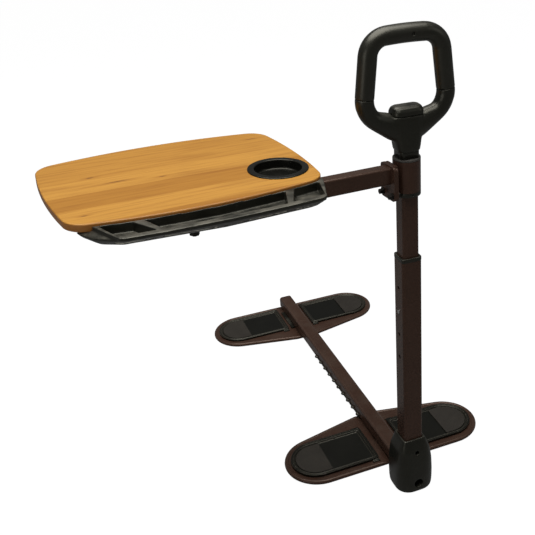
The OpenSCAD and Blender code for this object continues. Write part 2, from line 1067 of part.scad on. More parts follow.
module tray_brackets() {
    color([0.24, 0.18, 0.15])
        on_arm()
            for (x = strip_x)
                difference() {
                    translate([-x, (strip_y0 + strip_y1) / 2, board_z - strip_t])
                        linear_extrude(height = strip_t)
                            rounded_square(strip_w, strip_y1 - strip_y0, 8);
                    for (y = screw_y)
                        rod_z(-x, y, 0, board_top, wood_screw_r + fit);
                    if (x == strip_x[1])
                        rod_z(-x, 0, 0, board_top, stud_r + fit);
                }
}

module tray_stud() {
    color([0.35, 0.35, 0.35])
        on_arm() {
            rod_z(-strip_x[1], 0, -arm_h / 2 - knob_drop - 2, board_z + 2.5, stud_r);
            rod_z(-strip_x[1], 0, board_z, board_z + 2.5, stud_r + 4);
        }
}

module tray_nut() {
    color([0.3, 0.3, 0.3])
        on_arm()
            difference() {
                union() {
                    rod_z(-strip_x[1], 0, -arm_h / 2 - 1.6, -arm_h / 2, stud_r + 5);
                    rod_z(-strip_x[1], 0, -arm_h / 2 - knob_drop + 1, -arm_h / 2 - 1, stud_r + 2);
                    hex_z(-strip_x[1], 0, -arm_h / 2 - knob_drop, -arm_h / 2 - knob_drop + 9, stud_r + 4.5);
                }
                rod_z(-strip_x[1], 0, -arm_h / 2 - knob_drop - 1, 0, stud_r + run_fit);
            }
}

module tray_screws() {
    z = board_z - strip_t;
    color([0.4, 0.4, 0.4])
        on_arm()
            for (x = strip_x, y = screw_y) {
                rod_z(-x, y, z - 2.5, z, wood_screw_r + 2.2);
                rod_z(-x, y, z - 1, board_z + 8, wood_screw_r);
            }
}

// Bowed board outline: four wide arcs joined by round corners, smaller by an inset
function arc(centre, r, from, to, steps) =
    [for (i = [0 : steps]) let (a = from + (to - from) * i / steps) centre + r * [cos(a), sin(a)]];

function wide_r(half, bow) = (half * half + bow * bow) / (2 * bow);

function corner_at(side_o, side_reach, back_o, back_reach) =
    let (
        gap = norm(back_o - side_o),
        along = (side_reach * side_reach - back_reach * back_reach + gap * gap) / (2 * gap),
        across = sqrt(side_reach * side_reach - along * along),
        dir = (back_o - side_o) / gap
    )
    side_o + along * dir + across * [-dir[1], dir[0]] * (dir[1] < 0 ? 1 : -1);

function quarter(inset) =
    let (
        small = corner_r - inset,
        side_r = wide_r(board_d / 2, bow_side) - inset,
        back_r = wide_r(board_w / 2, bow_front) - inset,
        side_o = [board_w / 2 - inset - side_r, 0],
        back_o = [0, board_d / 2 - inset - back_r],
        at = corner_at(side_o, side_r - small, back_o, back_r - small),
        side_a = atan2(at[1] - side_o[1], at[0] - side_o[0]),
        back_a = atan2(at[1] - back_o[1], at[0] - back_o[0]),
        side_arc = arc(side_o, side_r, 0, side_a, 6),
        corner_arc = arc(at, small, side_a, back_a, 8)
    )
    concat([for (i = [0 : 5]) side_arc[i]], [for (i = [0 : 7]) corner_arc[i]], arc(back_o, back_r, back_a, 90, 7));

module board_outline(inset) {
    q = quarter(inset);
    n = len(q);
    polygon(concat(
        [for (i = [0 : n - 2]) q[i]],
        [for (i = [0 : n - 2]) [-q[n - 1 - i][0], q[n - 1 - i][1]]],
        [for (i = [0 : n - 2]) [-q[i][0], -q[i][1]]],
        [for (i = [0 : n - 2]) [q[n - 1 - i][0], -q[n - 1 - i][1]]]
    ));
}

module on_board() {
    on_arm()
        translate([-board_x, board_y, 0])
            children();
}

module tray_board() {
    color([0.8, 0.58, 0.3])
        difference() {
            on_board() {
                along_z(board_z + 1, board_top - edge_r)
                    board_outline(0);
                along_z(board_z, board_top)
                    board_outline(edge_r / 3);
            }
            on_arm() {
                rod_z(cup_at[0], cup_at[1], 0, board_top + 1, cup_r + cup_wall + hole_gap);
                rod_z(-strip_x[1], 0, 0, board_z + 3, stud_r + 4.5);
                for (x = strip_x, y = screw_y)
                    rod_z(-x, y, 0, board_z + 8.5, wood_screw_r + fit);
                for (x = bin_screw_x)
                    rod_z(bin_x + x, bin_screw_y, 0, board_z + 8.5, wood_screw_r + fit);
            }
        }
}

module cup_holder() {
    lip_top = board_top + cup_lip;
    color([0.08, 0.08, 0.08])
        on_arm()
            translate([cup_at[0], cup_at[1], 0])
                difference() {
                    union() {
                        rod_z(0, 0, lip_top - cup_depth - 1.8, lip_top, cup_r + cup_wall);
                        rod_z(0, 0, board_top, lip_top - 0.8, cup_flange);
                        rod_z(0, 0, board_top, lip_top, cup_flange - 1.2);
                    }
                    rod_z(0, 0, lip_top - cup_depth, lip_top + 1, cup_r);
                }
}

// Organiser outlines, X from its middle
function wood_front(x) = bow_front * pow((x + bin_shift) / (board_w / 2), 2) - board_front;

module bin_rim_outline(inset) {
    half = bin_half - inset;
    front = bin_front + inset;
    polygon([[-half, bin_back], [-half, bin_back - 9], [-half + 28, front + 12], [-half + 37, front + 7],
        [-0.46 * bin_half, front + 2], [0, front], [0.46 * bin_half, front + 2], [half - 37, front + 7],
        [half - 28, front + 12], [half, bin_back - 9], [half, bin_back]]);
}

module bin_body_outline(inset) {
    left = -bin_half - 16 + inset;
    right = bin_half + 1 - inset;
    front = bin_front + inset;
    polygon([[left, bin_back], [left + 2, bin_back - 10], [left + 14, bin_back - 36], [left + 44, front + 25],
        [0, front + 12], [right - 37, front + 18], [right - 24, front + 26], [right, bin_back - 8], [right, bin_back]]);
}

module bin_layer(z) {
    translate([bin_x, 0, z])
        linear_extrude(height = 0.1)
            children();
}

module bin_form() {
    hull() {
        bin_layer(bin_top - 0.1)
            bin_rim_outline(0.8);
        bin_layer(bin_top - 1)
            bin_rim_outline(0);
        bin_layer(bin_top - 6)
            bin_rim_outline(1);
    }
    hull() {
        bin_layer(bin_top - 5.5)
            bin_rim_outline(1);
        bin_layer(board_z - 4)
            bin_body_outline(0);
        bin_layer(bin_bottom + 5)
            bin_body_outline(6);
        bin_layer(bin_bottom)
            bin_body_outline(14);
    }
}

module bin_pocket(backs, fronts) {
    translate([bin_x, 0, bin_top - pocket_depth])
        linear_extrude(height = 2 * pocket_depth)
            polygon(concat([for (x = backs) [x, wood_front(x) - bin_wall]], fronts));
}

module end_pocket(side) {
    reach = side * bin_half;
    bin_pocket([0.93 * reach, 0.684 * reach],
        [[0.56 * reach, bin_front + 16], [0.85 * reach, bin_front + 21], [0.87 * reach, bin_front + 33]]);
}

module organiser() {
    color([0.1, 0.1, 0.09])
        difference() {
            on_arm()
                difference() {
                    bin_form();
                    end_pocket(-1);
                    end_pocket(1);
                    bin_pocket([-0.593 * bin_half, 0, 0.593 * bin_half],
                        [[0.5 * bin_half, bin_front + 14], [-0.5 * bin_half, bin_front + 14]]);
                    translate([bin_x - 0.75 * bin_half, flange_front, bin_bottom - 10])
                        cube([1.5 * bin_half, 40, board_z - bin_flange - bin_bottom + 10]);
                    for (x = bin_screw_x)
                        rod_z(bin_x + x, bin_screw_y, 0, board_top, wood_screw_r + fit);
                }
            on_board()
                along_z(board_z, board_top + 2 * pocket_depth)
                    board_outline(-0.4);
        }
}

module organiser_screws() {
    z = board_z - bin_flange;
    color([0.4, 0.4, 0.4])
        on_arm()
            for (x = bin_screw_x) {
                rod_z(bin_x + x, bin_screw_y, z - 2.5, z, wood_screw_r + 2.2);
                rod_z(bin_x + x, bin_screw_y, z - 1, board_z + 8, wood_screw_r);
            }
}

base_bar();
bar_end_cap();
bar_front_plug();
length_rack();
front_foot_plate();
front_plate_bolts();
front_plate_nuts();
front_left_leg_pad();
front_right_leg_pad();
front_left_grip();
front_right_grip();
front_floor_pads();
post_boot();
boot_floor_pad();
boot_screw();
post_bolt();
lower_post();
post_bushing();
rear_foot_plate();
rear_left_leg_pad();
rear_right_leg_pad();
rear_left_grip();
rear_right_grip();
rear_floor_pads();
bar_guides();
slide_block();
slide_bolts();
upper_post();
post_guide_plug();
catch_spring();
left_button();
right_button();
lower_swivel_bush();
upper_swivel_bush();
bush_screws();
post_top_plug();
handle_hub();
hub_cap();
hub_bolt();
handle_core();
handle_grip();
swivel_collar();
collar_bracket();
arm_plate();
arm_bolts();
arm_nuts();
arm_tube();
arm_end_cap();
tray_brackets();
tray_stud();
tray_nut();
tray_screws();
tray_board();
cup_holder();
organiser();
organiser_screws();
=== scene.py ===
"""Looks of the couch standing aid: camera, studio, finishes and the pieces that the solids leave plain."""

import json
import math

import bmesh
import bpy
from mathutils import Matrix, Vector


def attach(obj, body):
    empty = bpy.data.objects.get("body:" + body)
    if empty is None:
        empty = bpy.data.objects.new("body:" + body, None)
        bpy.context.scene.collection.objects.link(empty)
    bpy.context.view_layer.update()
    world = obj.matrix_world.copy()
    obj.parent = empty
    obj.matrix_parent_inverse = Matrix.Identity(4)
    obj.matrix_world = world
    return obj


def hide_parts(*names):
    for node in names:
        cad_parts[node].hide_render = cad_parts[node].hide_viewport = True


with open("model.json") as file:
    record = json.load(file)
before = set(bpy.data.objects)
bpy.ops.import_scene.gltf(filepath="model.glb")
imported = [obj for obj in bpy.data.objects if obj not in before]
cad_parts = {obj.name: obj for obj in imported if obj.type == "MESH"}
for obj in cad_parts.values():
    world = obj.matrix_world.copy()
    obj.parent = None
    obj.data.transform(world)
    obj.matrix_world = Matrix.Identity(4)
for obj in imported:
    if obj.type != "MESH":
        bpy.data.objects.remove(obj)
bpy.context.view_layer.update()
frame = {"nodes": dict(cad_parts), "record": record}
nodes = frame["nodes"]
scene = bpy.context.scene
scene.view_settings.view_transform = "Standard"
MM = 0.001

# Sizes shared with the solids, in millimetres, and angles in radians
ARM_TURN = math.radians(5.16)
ARM_RISE = math.radians(1.5)
ARM_Z = 702.0
BOARD_W = 436.0
BOARD_D = 328.0
BOARD_T = 13.0
BOARD_AT = (-386.0, 109.0)
BOARD_Z = 20.0
BOARD_TOP = BOARD_Z + BOARD_T
BOW_SIDE = 15.0
BOW_FRONT = 26.0
CORNER_R = 40.0
CUP_AT = (-231.0, 42.0)
CUP_R = 40.7
CUP_WALL = 2.5
CUP_LIP = 2.4
CUP_DEPTH = 17.0
CUP_RIM_W = 11.8
CUP_FLANGE = CUP_R + CUP_RIM_W
PLATE_LENGTH = 457.0
PLATE_END_R = 75.0
PLATE_DEPTH = 180.0
BEAD_R = 5.0
APEX_X = 26.0
DECK_Z = 6.0
FRONT_EDGE = 64.0
REAR_EDGE = 813.0
SLIDE_GAP = 0.3
BAR_W = 34.0
BAR_Z = 9.0
STOP_FIRST = 240.0
STOP_PITCH = 30.0
STOP_COUNT = 10
STOP_RISE = 7.5
STOP_Z = BAR_Z + STOP_RISE
STOP_STRIP = 1.2
BOOT_BOLT_Z = 25.0
BOOT_SCREW_Z = 97.0

# Sizes of the rounder forms that the scene makes, in millimetres
BOARD_EDGE_R = 2.6
BOARD_UNDER_R = 1.5
BOARD_FLAT_RIM = 0.6
CUP_FLOOR = 1.8
CUP_SEAT_GAP = 0.02
CUP_HOLE_GAP = 0.3
CUP_TAPER = 0.5
CUP_LIP_FALL = 0.3
CUP_RADII = (4.0, 2.2, 1.6, 0.4, 0.4, 2.0)
BEAD_PROUD = 0.05
BEAD_BAR_GAP = 1.2
STOP_STRIP_H = 6.0
STOP_STRIP_END = 9.0
STOP_HALF_LENGTH = 5.8
STOP_HEIGHT_SHARE = 0.6
NECK_LOW = 730.5
NECK_HIGH = 752.0
NECK_IN = (16.7, 5.7)
NECK_OUT = (18.6, 7.4)
GRIP_BOW = 2.5
GRIP_BOW_REACH = 74.0
GRIP_BOW_Z = 905.0
GRIP_BOW_BLEND = 25.0

# Stretches of the mouldings that stay crisp, in millimetres
HUB_CRISP_Z = 828.0
BOOT_BOLT_CLEAR = 14.0
BOOT_SCREW_CLEAR = 8.0
POST_SEAT_HALF = 24.0
BAR_SEAT_HALF = 22.0
BAR_SEAT_TOP = 46.0

# Counts of steps round the curves
BOARD_RING_STEPS = 16
BOARD_EDGE_STEPS = 6
BOARD_UNDER_STEPS = 4
CUP_TURNS = 128
CUP_CORNER_STEPS = 5
NECK_CORNER_STEPS = 6
BEAD_SIDES = 20
PLATE_EDGE_STEPS = 9
PLATE_END_STEPS = 32
PLATE_TAPER_STEPS = 6
STOP_SEGMENTS = 24
STOP_RINGS = 14

# Corners nearer than this many metres are one
WELD_REACH = 1e-6

# Camera fitted to the photograph: angles in radians, lens in pixels, place in metres
CAMERA_YAW = 0.4030
CAMERA_PITCH = 0.4074
CAMERA_ROLL = 0.0318
CAMERA_AT = (-0.63655, -1.30692, 1.25796)
FOCAL_PX = 864.9
CENTRE_PX = (367.17, 208.19)
FRAME_PX = 535.0
SENSOR_MM = 36.0


def photo_camera():
    flat = math.cos(CAMERA_PITCH)
    forward = Vector((math.sin(CAMERA_YAW) * flat, math.cos(CAMERA_YAW) * flat, -math.sin(CAMERA_PITCH)))
    level = Vector((math.cos(CAMERA_YAW), -math.sin(CAMERA_YAW), 0.0))
    down = forward.cross(level)
    right = math.cos(CAMERA_ROLL) * level + math.sin(CAMERA_ROLL) * down
    below = math.cos(CAMERA_ROLL) * down - math.sin(CAMERA_ROLL) * level
    data = bpy.data.cameras.new("photo_camera")
    data.sensor_fit = "HORIZONTAL"
    data.sensor_width = SENSOR_MM
    data.lens = FOCAL_PX / FRAME_PX * SENSOR_MM
    data.shift_x = (FRAME_PX / 2 - CENTRE_PX[0]) / FRAME_PX
    data.shift_y = (CENTRE_PX[1] - FRAME_PX / 2) / FRAME_PX
    data.clip_end = 100.0
    camera = bpy.data.objects.new("photo_camera", data)
    turn = Matrix((right, -below, -forward)).transposed().to_4x4()
    camera.matrix_world = Matrix.Translation(CAMERA_AT) @ turn
    scene.collection.objects.link(camera)
    scene.camera = camera


# Building blocks of the node trees
def shader_group(name, inputs, outputs):
    tree = bpy.data.node_groups.new(name, "ShaderNodeTree")
    for label, value in inputs:
        socket = tree.interface.new_socket(label, in_out="INPUT", socket_type="NodeSocketFloat")
        socket.default_value = value
    for label in outputs:
        tree.interface.new_socket(label, in_out="OUTPUT", socket_type="NodeSocketFloat")
    return tree, tree.nodes.new("NodeGroupInput"), tree.nodes.new("NodeGroupOutput")


def new_material(name):
    material = bpy.data.materials.new(name)
    material.use_nodes = True
    tree = material.node_tree
    return material, tree, tree.nodes["Principled BSDF"]


def object_place(tree):
    return tree.nodes.new("ShaderNodeTexCoord").outputs["Object"]


def stretched(tree, place, scale, turn=(0.0, 0.0, 0.0)):
    node = tree.nodes.new("ShaderNodeMapping")
    node.inputs["Rotation"].default_value = turn
    node.inputs["Scale"].default_value = scale
    tree.links.new(place, node.inputs["Vector"])
    return node.outputs[0]


def upward(tree, normal):
    """How far a surface looks up: 1 for a level top, 0 for an upright side."""
    surface = tree.nodes.new("ShaderNodeNewGeometry")
    split = tree.nodes.new("ShaderNodeSeparateXYZ")
    tree.links.new(surface.outputs[normal], split.inputs[0])
    return split.outputs["Z"]


def math_node(tree, operation, a, b):
    node = tree.nodes.new("ShaderNodeMath")
    node.operation = operation
    node.use_clamp = True
    for index, value in enumerate((a, b)):
        if isinstance(value, (int, float)):
            node.inputs[index].default_value = value
        else:
            tree.links.new(value, node.inputs[index])
    return node.outputs[0]


def noise(tree, vector, scale, detail, roughness=0.55):
    node = tree.nodes.new("ShaderNodeTexNoise")
    node.inputs["Detail"].default_value = detail
    node.inputs["Roughness"].default_value = roughness
    if isinstance(scale, (int, float)):
        node.inputs["Scale"].default_value = scale
    else:
        tree.links.new(scale, node.inputs["Scale"])
    tree.links.new(vector, node.inputs["Vector"])
    return node.outputs["Fac"]


def band(tree, value, low, high):
    node = tree.nodes.new("ShaderNodeMapRange")
    node.clamp = True
    node.interpolation_type = "SMOOTHSTEP"
    node.inputs["From Min"].default_value = low
    node.inputs["From Max"].default_value = high
    tree.links.new(value, node.inputs["Value"])
    return node.outputs["Result"]


def place_group(tree, group, **values):
    node = tree.nodes.new("ShaderNodeGroup")
    node.node_tree = group
    for label, value in values.items():
        node.inputs[label.replace("_", " ")].default_value = value
    return node


def mix_colour(tree, factor, a, b):
    node = tree.nodes.new("ShaderNodeMix")
    node.data_type = "RGBA"
    tree.links.new(factor, node.inputs["Factor"])
    for label, value in (("A", a), ("B", b)):
        socket = [s for s in node.inputs if s.name == label and s.type == "RGBA"][0]
        if isinstance(value, tuple):
            socket.default_value = (*value, 1.0)
        else:
            tree.links.new(value, socket)
    return [s for s in node.outputs if s.type == "RGBA"][0]


def spread(tree, value, low, high):
    node = tree.nodes.new("ShaderNodeMapRange")
    node.inputs["To Min"].default_value = low
    node.inputs["To Max"].default_value = high
    tree.links.new(value, node.inputs["Value"])
    return node.outputs["Result"]


def bump(tree, shader, height, strength, distance):
    node = tree.nodes.new("ShaderNodeBump")
    node.inputs["Strength"].default_value = strength
    node.inputs["Distance"].default_value = distance
    tree.links.new(height, node.inputs["Height"])
    tree.links.new(node.outputs[0], shader.inputs["Normal"])


# Studio with a white floor that keeps the shadow; a lamp has its place, target, width and power
LAMPS = (
    ("key_lamp", (-2.2, -1.2, 1.0), (-0.1, 0.1, 0.55), 1.2, 5.0),
    ("fill_lamp", (2.0, -1.4, 1.9), (0.0, 0.2, 0.5), 1.4, 2.5),
    ("top_lamp", (-0.3, 0.1, 3.0), (-0.2, 0.2, 0.5), 3.0, 97.0),
)
FLOOR_HALF = 14.0
PAPER_TONE = (0.42, 0.42, 0.42)
PAPER_IN_GLOSS = (0.1, 0.1, 0.1)
FLOOR_GLOW = 1.2
FLOOR_WHITE = (0.82, 0.1)
SKY_LEVEL = 0.085
SKY_WHITE = (1.0, 0.03)
WHITE = (1.0, 1.0, 1.0, 1.0)


def area_lamp(name, place, target, size, power):
    data = bpy.data.lights.new(name, "AREA")
    data.shape = "DISK"
    data.size = size
    data.energy = power
    lamp = bpy.data.objects.new(name, data)
    aim = Vector(target) - Vector(place)
    lamp.matrix_world = Matrix.Translation(place) @ aim.to_track_quat("-Z", "Y").to_matrix().to_4x4()
    scene.collection.objects.link(lamp)


def white_share(tree, seen, mirrored):
    """How much white a ray meets: one share for the eye and glass, one for gloss, none for bounces."""
    path = tree.nodes.new("ShaderNodeLightPath")
    eye = tree.nodes.new("ShaderNodeMath")
    eye.operation = "MAXIMUM"
    tree.links.new(path.outputs["Is Camera Ray"], eye.inputs[0])
    tree.links.new(path.outputs["Is Transmission Ray"], eye.inputs[1])
    gloss = tree.nodes.new("ShaderNodeMath")
    gloss.operation = "MULTIPLY"
    gloss.inputs[1].default_value = mirrored
    tree.links.new(path.outputs["Is Glossy Ray"], gloss.inputs[0])
    share = tree.nodes.new("ShaderNodeMath")
    share.operation = "MULTIPLY_ADD"
    share.inputs[1].default_value = seen
    tree.links.new(eye.outputs[0], share.inputs[0])
    tree.links.new(gloss.outputs[0], share.inputs[2])
    return share.outputs[0]


def studio_floor():
    floor_mesh = bpy.data.meshes.new("studio_floor")
    corners = [(x * FLOOR_HALF, y * FLOOR_HALF, 0.0) for x, y in ((-1, -1), (1, -1), (1, 1), (-1, 1))]
    floor_mesh.from_pydata(corners, [], [(0, 1, 2, 3)])
    floor = bpy.data.objects.new("studio_floor", floor_mesh)
    scene.collection.objects.link(floor)
    paper, tree, matte = new_material("studio_paper")
    ray = tree.nodes.new("ShaderNodeLightPath")
    paper_tone = mix_colour(tree, ray.outputs["Is Glossy Ray"], PAPER_TONE, PAPER_IN_GLOSS)
    tree.links.new(paper_tone, matte.inputs["Base Color"])
    matte.inputs["Roughness"].default_value = 0.9
    matte.inputs["Specular IOR Level"].default_value = 0.0
    glow = tree.nodes.new("ShaderNodeEmission")
    glow.inputs["Strength"].default_value = FLOOR_GLOW
    mix = tree.nodes.new("ShaderNodeMixShader")
    tree.links.new(white_share(tree, *FLOOR_WHITE), mix.inputs[0])
    tree.links.new(matte.outputs[0], mix.inputs[1])
    tree.links.new(glow.outputs[0], mix.inputs[2])
    tree.links.new(mix.outputs[0], tree.nodes["Material Output"].inputs["Surface"])
    floor_mesh.materials.append(paper)


def studio_world():
    world = bpy.data.worlds.new("studio_world")
    scene.world = world
    world.use_nodes = True
    tree = world.node_tree
    sky = tree.nodes["Background"]
    sky.inputs["Color"].default_value = WHITE
    sky.inputs["Strength"].default_value = SKY_LEVEL
    white = tree.nodes.new("ShaderNodeBackground")
    white.inputs["Color"].default_value = WHITE
    mix = tree.nodes.new("ShaderNodeMixShader")
    tree.links.new(white_share(tree, *SKY_WHITE), mix.inputs[0])
    tree.links.new(sky.outputs[0], mix.inputs[1])
    tree.links.new(white.outputs[0], mix.inputs[2])
    tree.links.new(mix.outputs[0], tree.nodes["World Output"].inputs["Surface"])


# Effects that several finishes share
def grain_group():
    """Fine surface grain for relief, a slow drift of tone over the piece, and light flecks."""
    inputs = (("Grain per metre", 900.0), ("Drift per metre", 14.0))
    tree, start, end = shader_group("surface_grain", inputs, ("Height", "Drift", "Fleck"))
    place = object_place(tree)
    fine = noise(tree, place, start.outputs["Grain per metre"], detail=2.0, roughness=0.6)
    slow = noise(tree, place, start.outputs["Drift per metre"], detail=3.0)
    coarse = noise(tree, place, start.outputs["Grain per metre"], detail=0.0)
    fleck = band(tree, coarse, low=0.62, high=0.78)
    tree.links.new(fine, end.inputs["Height"])
    tree.links.new(slow, end.inputs["Drift"])
    tree.links.new(fleck, end.inputs["Fleck"])
    return tree


def scuff_group():
    """Short rubbed marks that wear the finish a little."""
    tree, start, end = shader_group("handling_scuffs", (("Marks per metre", 40.0),), ("Mask",))
    place = object_place(tree)
    streak = stretched(tree, place, (1.0, 5.0, 1.0), turn=(0.5, 0.3, 0.6))
    rubbing = noise(tree, streak, start.outputs["Marks per metre"], detail=4.0, roughness=0.7)
    marks = band(tree, rubbing, low=0.6, high=0.72)
    patches = band(tree, noise(tree, place, 9.0, detail=2.0), low=0.45, high=0.65)
    tree.links.new(math_node(tree, "MULTIPLY", marks, patches), end.inputs["Mask"])
    return tree


def dust_group():
    """A thin film that settles on faces that look up."""
    tree, start, end = shader_group("settled_dust", (("Amount", 0.3),), ("Mask",))
    up = band(tree, upward(tree, "Normal"), low=0.55, high=1.0)
    cloud = noise(tree, object_place(tree), 26.0, detail=5.0, roughness=0.65)
    patchy = band(tree, cloud, low=0.35, high=0.75)
    film = math_node(tree, "MULTIPLY", up, patchy)
    tree.links.new(math_node(tree, "MULTIPLY", film, start.outputs["Amount"]), end.inputs["Mask"])
    return tree


def rim_highlight_group():
    """Painted highlight on rounded edges between an upper face and a side: they are drawn lighter than the
    faces beside them.
    """
    tree, start, end = shader_group("painted_rim_highlights", (("Amount", 0.4),), ("Mask",))
    up = upward(tree, "True Normal")
    above_side = band(tree, up, low=0.25, high=0.5)
    below_top = band(tree, up, low=0.985, high=0.9)
    turning = math_node(tree, "MULTIPLY", above_side, below_top)
    tree.links.new(math_node(tree, "MULTIPLY", turning, start.outputs["Amount"]), end.inputs["Mask"])
    return tree


GRAIN = grain_group()
SCUFFS = scuff_group()
DUST = dust_group()
# Painted highlights along rounded rims, lighter where an edge turns from a top to a side
RIM_HIGHLIGHTS = rim_highlight_group()


# Shares of the effects in every coated finish
SCUFF_SHARE = 0.35
FLECK_SHARE = 0.16
DUST_TONE = (0.16, 0.148, 0.118)
ROUGH_DRIFT = 0.07
SCUFF_ROUGH = 0.12
RELIEF_DEPTH = 0.0004


def coated(name, dark, light, worn, rough, grain, relief, dust=0.2, metal=0.0, shine=0.25,
           tint=(1.0, 0.96, 0.8), rim_highlight=0.0, rim_highlight_tone=(0.1, 0.09, 0.07)):
    """A moulded, rubber or painted finish with drift, flecks, scuffs, dust, painted highlights on rounded
    rims and relief.
    """
    material, tree, shader = new_material(name)
    shader.inputs["Metallic"].default_value = metal
    shader.inputs["Specular IOR Level"].default_value = shine
    shader.inputs["Specular Tint"].default_value = (*tint, 1.0)
    grain_node = place_group(tree, GRAIN, Grain_per_metre=grain)
    scuff_node = place_group(tree, SCUFFS)
    dust_node = place_group(tree, DUST, Amount=dust)
    tone = mix_colour(tree, grain_node.outputs["Drift"], dark, light)
    scuffs = scuff_node.outputs["Mask"]
    rubbed = mix_colour(tree, math_node(tree, "MULTIPLY", scuffs, SCUFF_SHARE), tone, worn)
    flecks = math_node(tree, "MULTIPLY", grain_node.outputs["Fleck"], FLECK_SHARE)
    flecked = mix_colour(tree, flecks, rubbed, worn)
    dusty = mix_colour(tree, dust_node.outputs["Mask"], flecked, DUST_TONE)
    # Painted highlight: rounded rims between tops and sides are drawn lighter
    rim_highlighted = mix_colour(tree, place_group(tree, RIM_HIGHLIGHTS, Amount=rim_highlight).outputs["Mask"], dusty, rim_highlight_tone)
    tree.links.new(rim_highlighted, shader.inputs["Base Color"])
    base_rough = spread(tree, grain_node.outputs["Drift"], rough - ROUGH_DRIFT, rough + ROUGH_DRIFT)
    scuffed_rough = math_node(tree, "ADD", base_rough, math_node(tree, "MULTIPLY", scuffs, SCUFF_ROUGH))
    tree.links.new(scuffed_rough, shader.inputs["Roughness"])
    bump(tree, shader, grain_node.outputs["Height"], relief, RELIEF_DEPTH)
    return material


def brushed(name, dark, light, rough):
    """Plated or brushed steel with fine drawn lines."""
    material, tree, shader = new_material(name)
    shader.inputs["Metallic"].default_value = 1.0
    drawn = stretched(tree, object_place(tree), (1.0, 1.0, 14.0))
    lines = noise(tree, drawn, 320.0, detail=3.0, roughness=0.7)
    tree.links.new(mix_colour(tree, lines, dark, light), shader.inputs["Base Color"])
    tree.links.new(spread(tree, lines, low=rough - 0.08, high=rough + 0.1), shader.inputs["Roughness"])
    bump(tree, shader, lines, strength=0.12, distance=0.0002)
    return material


# Placing on the turned and raised arm
ARM_SEAT = Matrix.Translation((0, 0, ARM_Z)) @ Matrix.Rotation(ARM_RISE, 4, "Y")
ON_ARM = Matrix.Rotation(ARM_TURN, 4, "Z") @ ARM_SEAT


def on_arm(x, y, z):
    return ON_ARM @ Vector((x, y, z)) * MM


# Board: a knot has its place, half length and half width in millimetres; a plank is in metres
KNOTS = (
    ((-135.0, 47.0), 9.0, 3.4),
    ((-99.0, 8.0), 27.0, 2.8),
    ((-27.0, -5.0), 8.0, 2.6),
    ((175.0, 108.0), 16.0, 2.4),
    ((-178.0, -113.0), 7.0, 2.4),
)
PLANK_WIDTH = 0.062
PLANK_SHIFT = 20.37
WOOD_PALE = (0.53, 0.258, 0.046)
WOOD_HONEY = (0.385, 0.166, 0.024)
WOOD_AMBER = (0.24, 0.082, 0.0105)
WOOD_KNOT = (0.13, 0.05, 0.016)
WOOD_EDGE = (0.33, 0.125, 0.024)
STREAK_SHARE = 0.5
FLAME_SHARE = 0.42
KNOT_SHARE = 0.8
HALO_SHARE = 0.3
EDGE_SHARE = 0.85


def plank_chance(tree, flat):
    """A fixed chance value for each of the planks that run along the board."""
    split = tree.nodes.new("ShaderNodeSeparateXYZ")
    tree.links.new(flat, split.inputs[0])
    row = tree.nodes.new("ShaderNodeMath")
    row.operation = "MULTIPLY_ADD"
    row.inputs[1].default_value = 1.0 / PLANK_WIDTH
    row.inputs[2].default_value = PLANK_SHIFT
    tree.links.new(split.outputs["Y"], row.inputs[0])
    plank = tree.nodes.new("ShaderNodeMath")
    plank.operation = "FLOOR"
    tree.links.new(row.outputs[0], plank.inputs[0])
    chance = tree.nodes.new("ShaderNodeTexWhiteNoise")
    chance.noise_dimensions = "1D"
    tree.links.new(plank.outputs[0], chance.inputs["W"])
    return chance.outputs["Value"]


def with_knots(tree, flat, tone):
    """Dark eyes drawn out along the grain, each in an amber halo."""
    for (x, y), half_length, half_width in KNOTS:
        shift = tree.nodes.new("ShaderNodeMapping")
        shift.vector_type = "TEXTURE"
        shift.inputs["Location"].default_value = (x * MM, y * MM, 0.0)
        shift.inputs["Scale"].default_value = (half_length * MM, half_width * MM, 1.0)
        tree.links.new(flat, shift.inputs["Vector"])
        reach = tree.nodes.new("ShaderNodeVectorMath")
        reach.operation = "LENGTH"
        tree.links.new(shift.outputs[0], reach.inputs[0])
        near = reach.outputs["Value"]
        spot = math_node(tree, "MULTIPLY", band(tree, near, low=1.0, high=0.2), KNOT_SHARE)
        halo = math_node(tree, "MULTIPLY", band(tree, near, low=2.6, high=0.6), HALO_SHARE)
        tone = mix_colour(tree, halo, tone, WOOD_AMBER)
        tone = mix_colour(tree, spot, tone, WOOD_KNOT)
    return tone


